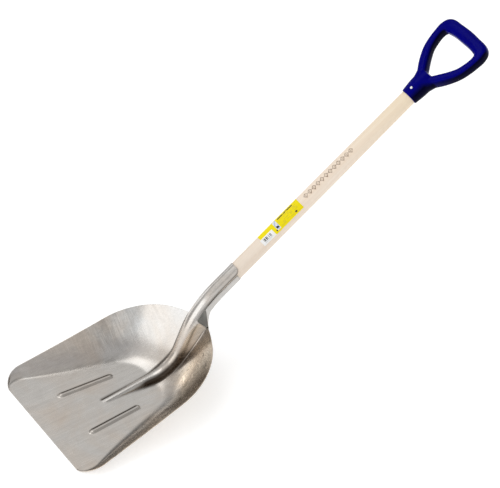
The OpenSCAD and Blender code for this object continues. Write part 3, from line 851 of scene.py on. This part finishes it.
def blade_steel():
    m, colour, streaks, roughness = steel("steel_brushed_blade", (0.570, 0.548, 0.520), (0.575, 0.512, 0.452),
                                          0.26, (230, 9, 230))
    x, y, z = m.split(m.add("ShaderNodeTexCoord").outputs["Object"])
    minus_x = m.math("MULTIPLY", x, -1.0)
    high = m.rise(z, 0.006, 0.028)
    # right wall: painted reflection, darker brown and paler bands that run along it
    right = m.math("MULTIPLY", high, m.rise(x, 0.020, 0.050))
    bands = m.noise(m.coords(scale=(55, 8, 110)), 1.0, 5.0, 0.65, 0.6)
    reflection_bands = m.ramp(bands, [(0.34, (0.50, 0.44, 0.36)), (0.47, (1.25, 1.14, 0.98)), (0.55, (0.92, 0.84, 0.73)),
                           (0.68, (1.75, 1.62, 1.42))])
    colour = m.tinted(m.math("MULTIPLY", right, 0.85), colour, reflection_bands)
    # left wall: pale scratches across it, where grain has slid down
    left = m.math("MULTIPLY", high, m.rise(minus_x, 0.070, 0.110))
    scratch = m.noise(m.coords(scale=(16, 150, 16), shift=(0, 5, 0)), 1.0, 5.0, 0.7, 1.4)
    toward_back = m.ramp(y, [(0.06, grey(0)), (0.15, grey(1)), (0.19, grey(1)), (0.25, grey(0.1))])
    pale = m.ramp(scratch, [(0.36, grey(0.82)), (0.55, grey(1)), (0.68, (1.22, 1.21, 1.20))])
    amount = m.math("MULTIPLY", left, m.math("ADD", m.math("MULTIPLY", toward_back, 0.75), 0.25))
    colour = m.tinted(amount, colour, pale)
    # left side: painted shade in a band just above the fold, and a cooler polish towards the back
    fold_shade = m.ramp(z, [(0.003, grey(0)), (0.010, grey(1)), (0.020, grey(1)), (0.042, grey(0))])
    fold_shade = m.math("MULTIPLY", fold_shade, m.rise(minus_x, 0.060, 0.085))
    colour = m.tinted(fold_shade, colour, (0.88, 0.88, 0.895))
    cool = m.math("MULTIPLY", m.rise(y, 0.15, 0.23), m.rise(minus_x, 0.0, 0.03))
    cool = m.math("MULTIPLY", cool, m.rise(z, 0.015, 0.045))
    colour = m.tinted(cool, colour, (0.93, 0.97, 1.01))
    # painted shade from the vertex attribute: the creases, the ribs' flanks and the neck's edges
    shade_amount = m.add("ShaderNodeAttribute", attribute_name="painted_shade").outputs["Fac"]
    uneven = m.math("ADD", m.math("MULTIPLY", bands, 0.5), 0.75)
    colour = m.blend(m.math("MULTIPLY", shade_amount, uneven, True), colour, (0.058, 0.044, 0.034))
    # the neck is polished brighter than the bowl
    neck = m.rise(z, 0.055, 0.085)
    m.set(Base_Color=colour, Roughness=m.math("SUBTRACT", roughness, m.math("MULTIPLY", neck, 0.04)))
    m.bump(streaks, 0.04, 0.0004)
    return m.mat


def plain_steel(*values):
    m, colour, streaks, _ = steel(*values)
    m.set(Base_Color=colour)
    m.bump(streaks, 0.05, 0.0005)
    return m.mat


def dull_inside():
    """The strap's unpolished inner face."""
    m, colour, *_ = steel("steel_dull_inside", (0.70, 0.71, 0.68), (0.76, 0.75, 0.71), 0.55, (90, 90, 90))
    m.set(Base_Color=colour, Metallic=0.0, Specular_IOR_Level=0.3)
    return m.mat


def local_coords(m):
    """Coordinates of the handle frame, in metres."""
    move = m.add("ShaderNodeVectorMath", operation="SUBTRACT")
    m.link(m.add("ShaderNodeTexCoord").outputs["Object"], move.inputs[0])
    move.inputs[1].default_value = tuple(FOOT)
    turn = m.add("ShaderNodeVectorRotate", rotation_type="X_AXIS")
    turn.inputs["Angle"].default_value = math.radians(90 - LIFT)
    m.link(move.outputs[0], turn.inputs["Vector"])
    return turn.outputs[0]


def scaled(m, vector, scale):
    s = m.add("ShaderNodeVectorMath", operation="MULTIPLY")
    m.link(vector, s.inputs[0])
    s.inputs[1].default_value = scale
    return s.outputs[0]


def wood():
    m = Nodes("wood_pale_ash")
    here = local_coords(m)
    grain = m.noise(scaled(m, here, (420, 420, 9)), 1.0, 6.0, 0.55, 0.4)
    rings = m.noise(scaled(m, here, (60, 60, 1.6)), 1.0, 3.0, 0.5, 1.5)
    pores = m.noise(scaled(m, here, (1900, 1900, 34)), 1.0, 3.0, 0.6)
    base = m.ramp(rings, [(0.25, (0.90, 0.73, 0.58)), (0.5, (0.94, 0.80, 0.66)), (0.75, (0.96, 0.84, 0.72))])
    base = m.blend(0.30, base, m.ramp(grain, [(0.35, (0.78, 0.62, 0.47)), (0.62, (0.94, 0.84, 0.73))]))
    base = m.blend(m.rise(pores, 0.60, 0.74, 0.28), base, (0.58, 0.43, 0.30))
    x, y, z = m.split(here)
    # yellower towards the grip
    up = m.math("MULTIPLY", m.math("SUBTRACT", z, 0.38), 3.6, True)
    base = m.blend(m.math("MULTIPLY", up, 0.75), base, (0.91, 0.76, 0.53))
    # handled and greyer near the neck
    low = m.math("MULTIPLY", m.math("SUBTRACT", 0.27, z), 4.0, True)
    base = m.blend(m.math("MULTIPLY", low, 0.45), base, (0.70, 0.62, 0.54))
    # burnt ornament: a row of lozenges up the front of the shaft
    first, last, pitch, middle, half = 0.283, 0.439, 0.0130, 0.0036, 0.0066
    u = m.math("DIVIDE", m.math("SUBTRACT", z, first), pitch)
    a = m.math("MULTIPLY", m.math("ABSOLUTE", m.math("SUBTRACT", m.math("FRACT", u), 0.5)), 2.0)
    b = m.math("DIVIDE", m.math("ABSOLUTE", m.math("SUBTRACT", x, middle)), half)
    s = m.math("ADD", a, b)
    outline = m.math("MULTIPLY", m.math("GREATER_THAN", s, 0.55), m.math("LESS_THAN", s, 1.0))
    shape = m.math("MAXIMUM", outline, m.math("LESS_THAN", s, 0.25))
    span = m.math("MULTIPLY", m.math("GREATER_THAN", z, first), m.math("LESS_THAN", z, last))
    front = m.math("LESS_THAN", y, 0.0)
    mark = m.math("MULTIPLY", m.math("MULTIPLY", shape, span), front)
    uneven = m.math("MULTIPLY", m.noise(scaled(m, here, (500, 500, 220)), 1.0, 3.0), 1.3, True)
    mark = m.math("MULTIPLY", mark, uneven)
    base = m.blend(mark, base, (0.19, 0.10, 0.045))
    roughness = m.math("ADD", m.math("MULTIPLY", grain, 0.16), 0.44)
    m.set(Base_Color=base, Roughness=roughness, Specular_IOR_Level=0.35)
    m.bump(m.math("ADD", grain, m.math("MULTIPLY", pores, 0.6)), 0.12, 0.0006)
    return m.mat


def plastic():
    m = Nodes("plastic_gloss_navy")
    peel = m.noise(m.coords(), 420.0, 2.0)
    scuff = m.noise(m.coords(), 45.0, 6.0, 0.65, 1.0)
    colour = m.ramp(scuff, [(0.3, (0.0004, 0.0003, 0.150)), (0.7, (0.0007, 0.0005, 0.190))])
    # painted shade: faces that look sideways are darker
    facing = m.split(m.add("ShaderNodeNewGeometry").outputs["Normal"])
    side_shade = m.rise(m.math("ABSOLUTE", facing[0]), 0.50, 0.86)
    colour = m.blend(side_shade, colour, (0.0003, 0.0003, 0.016))
    roughness = m.math("ADD", m.math("MULTIPLY", scuff, 0.10), 0.10)
    m.set(Base_Color=colour, Roughness=roughness, Specular_IOR_Level=0.03)
    m.bump(peel, 0.04, 0.0004)
    return m.mat


def paper(name, colour, rough=0.5):
    m = Nodes(name)
    fibre = m.noise(m.coords(), 900.0, 4.0, 0.6)
    fade = m.noise(m.coords(), 30.0, 3.0)
    low = tuple(c * 0.92 for c in colour)
    m.set(Base_Color=m.ramp(m.math("MULTIPLY", m.math("ADD", fibre, fade), 0.5), [(0.4, low), (0.6, colour)]),
          Roughness=m.math("ADD", m.math("MULTIPLY", fibre, 0.12), rough - 0.06), Specular_IOR_Level=0.12)
    m.bump(fibre, 0.05, 0.0002)
    return m.mat


def dress(obj, *materials, kinds=None):
    """Gives an object its materials, and each face its own of them where kinds says so."""
    obj.data.materials.clear()
    for m in materials:
        obj.data.materials.append(m)
    if kinds is not None:
        obj.data.polygons.foreach_set("material_index", kinds)


DARK_INK = paper("ink_dark", (0.05, 0.05, 0.04), 0.4)
dress(blade, blade_steel())
dress(strap, plain_steel("steel_satin_strap", (0.53, 0.52, 0.50), (0.54, 0.505, 0.47), 0.32, (300, 24, 50),
                         (math.radians(-LIFT), 0, 0)), dull_inside(), kinds=strap_kinds)
dress(grip, plastic())
dress(shaft, wood())
dress(label, paper("paper_yellow", (0.96, 0.80, 0.008)), DARK_INK, paper("ink_grey", (0.62, 0.50, 0.05), 0.4),
      paper("paper_white", (0.88, 0.88, 0.86)), paper("ink_pale_blue", (0.52, 0.62, 0.84), 0.4), kinds=label_kinds)
dress(sticker, paper("sticker_white", (0.97, 0.97, 0.96)), DARK_INK,
      paper("ink_mid_grey", (0.45, 0.45, 0.47), 0.4), kinds=sticker_kinds)
# the screws and the rivet are the CAD's own meshes
for node, name, tint, warm, rough in (
        ("strap_screws", "steel_plated_screws", (0.72, 0.72, 0.71), (0.74, 0.72, 0.69), 0.22),
        ("grip_rivet", "rivet_bright", (0.92, 0.92, 0.92), (0.90, 0.90, 0.89), 0.30)):
    dress(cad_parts[node], plain_steel(name, tint, warm, rough, (700, 700, 700)))
    smooth_faces(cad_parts[node].data)

for piece, node, slot in ((blade, "scoop_blade", "blade_steel"), (strap, "socket_strap", "strap_steel"),
                          (grip, "d_grip", "grip_plastic"), (shaft, "handle_shaft", "shaft_wood"),
                          (label, "shaft_label", "label_paper"), (sticker, "barcode_sticker", "sticker_paper")):
    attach(piece, "root")
    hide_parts(node)

# ---------------------------------------------------------------- floor, lights and camera
FLOOR_HALF, FLOOR_Z = 9, -0.0005
floor_corners = [(FLOOR_HALF * a, FLOOR_HALF * b, FLOOR_Z) for a, b in ((-1, -1), (1, -1), (1, 1), (-1, 1))]
floor = new_object("floor", mesh_from("floor", floor_corners, [(0, 1, 2, 3)]))
pale = Nodes("floor_pale")
pale_colour = pale.ramp(pale.noise(pale.coords(), 3.0, 2.0), [(0.3, grey(0.89)), (0.7, grey(0.91))])
pale.set(Base_Color=pale_colour, Roughness=0.9, Specular_IOR_Level=0.1, Emission_Color=(1, 1, 1, 1),
         Emission_Strength=0.42)
dress(floor, pale.mat)


def area_light(name, place, target, size, power, colour=(1, 1, 1)):
    data = bpy.data.lights.new(name, "AREA")
    data.shape = "RECTANGLE"
    data.size, data.size_y = size
    data.energy = power
    data.color = colour
    obj = bpy.data.objects.new(name, data)
    bpy.context.scene.collection.objects.link(obj)
    obj.location = place
    obj.rotation_euler = (Vector(target) - Vector(place)).to_track_quat("-Z", "Y").to_euler()


AIM = (0, 0.2, 0.15)
area_light("softbox_front", (0.35, -3.4, 1.47), AIM, (3.4, 3.0), 37, (0.97, 0.985, 1.0))
area_light("softbox_left_high", (-1.6, -0.2, 3.7), AIM, (2.2, 2.0), 17)

# The studio round the object: a soft gradient, with a few broad areas that are brighter or darker.
# Each row is a direction, the cosines at which the area starts and is full, and its factor.
AREAS = [((-0.84, 0.36, -0.40), 0.45, 0.75, 0.18),
         ((-0.60, 0.38, 0.705), 0.90, 0.975, 1.27),
         ((-0.06, 0.42, 0.906), 0.88, 0.97, 0.62),
         ((-0.96, -0.27, 0.05), 0.93, 0.985, 5.0),
         ((-0.15, -0.55, 0.82), 0.86, 0.96, 1.4),
         ((0.76, -0.56, 0.32), 0.85, 0.96, 1.5)]
HORIZON, OVERHEAD, SKY_Z = 0.36, 0.66, 0.32     # brightness at the horizon and above the height SKY_Z
world = bpy.data.worlds.new("studio")
bpy.context.scene.world = world
world.use_nodes = True
sky = world.node_tree
where = sky.nodes.new("ShaderNodeTexCoord")
height = sky.nodes.new("ShaderNodeSeparateXYZ")
sky.links.new(where.outputs["Generated"], height.inputs[0])


def world_ramp(value, start, first, end, second):
    """A value that goes smoothly from first to second while the input goes from start to end."""
    node = sky.nodes.new("ShaderNodeMapRange")
    node.interpolation_type = "SMOOTHSTEP"
    for k, number in enumerate((start, end, first, second)):
        node.inputs[k + 1].default_value = number
    sky.links.new(value, node.inputs[0])
    return node.outputs[0]


level = world_ramp(height.outputs[2], 0.0, HORIZON, SKY_Z, OVERHEAD)
for direction, start, full, factor in AREAS:
    toward = sky.nodes.new("ShaderNodeVectorMath")
    toward.operation = "DOT_PRODUCT"
    toward.inputs[1].default_value = Vector(direction).normalized()
    sky.links.new(where.outputs["Generated"], toward.inputs[0])
    times = sky.nodes.new("ShaderNodeMath")
    times.operation = "MULTIPLY"
    sky.links.new(level, times.inputs[0])
    sky.links.new(world_ramp(toward.outputs["Value"], start, 1.0, full, factor), times.inputs[1])
    level = times.outputs[0]
sky.links.new(level, sky.nodes["Background"].inputs[0])
sky.nodes["Background"].inputs[1].default_value = 1.0

camera_data = bpy.data.cameras.new("camera")
camera = bpy.data.objects.new("camera", camera_data)
bpy.context.scene.collection.objects.link(camera)
CAMERA_PLACE = (3.7666122, -2.1169838, 4.3736873)
FOCAL, PICTURE_WIDTH, SENSOR = 2725.0, 500, 36.0      # the focal length is in pixels of a picture this wide
right = Vector((0.55693335, 0.83050490, 0.00931925))
down = Vector((0.55838127, -0.36609485, -0.74443597))
ahead = Vector((-0.61484600, 0.41980491, -0.66762881))
camera.matrix_world = Matrix.Translation(CAMERA_PLACE) @ Matrix((right, -down, -ahead)).transposed().to_4x4()
camera_data.sensor_width = SENSOR
camera_data.lens = FOCAL / PICTURE_WIDTH * SENSOR
camera_data.clip_end = 50
bpy.context.scene.camera = camera
bpy.context.scene.view_settings.view_transform = "Standard"
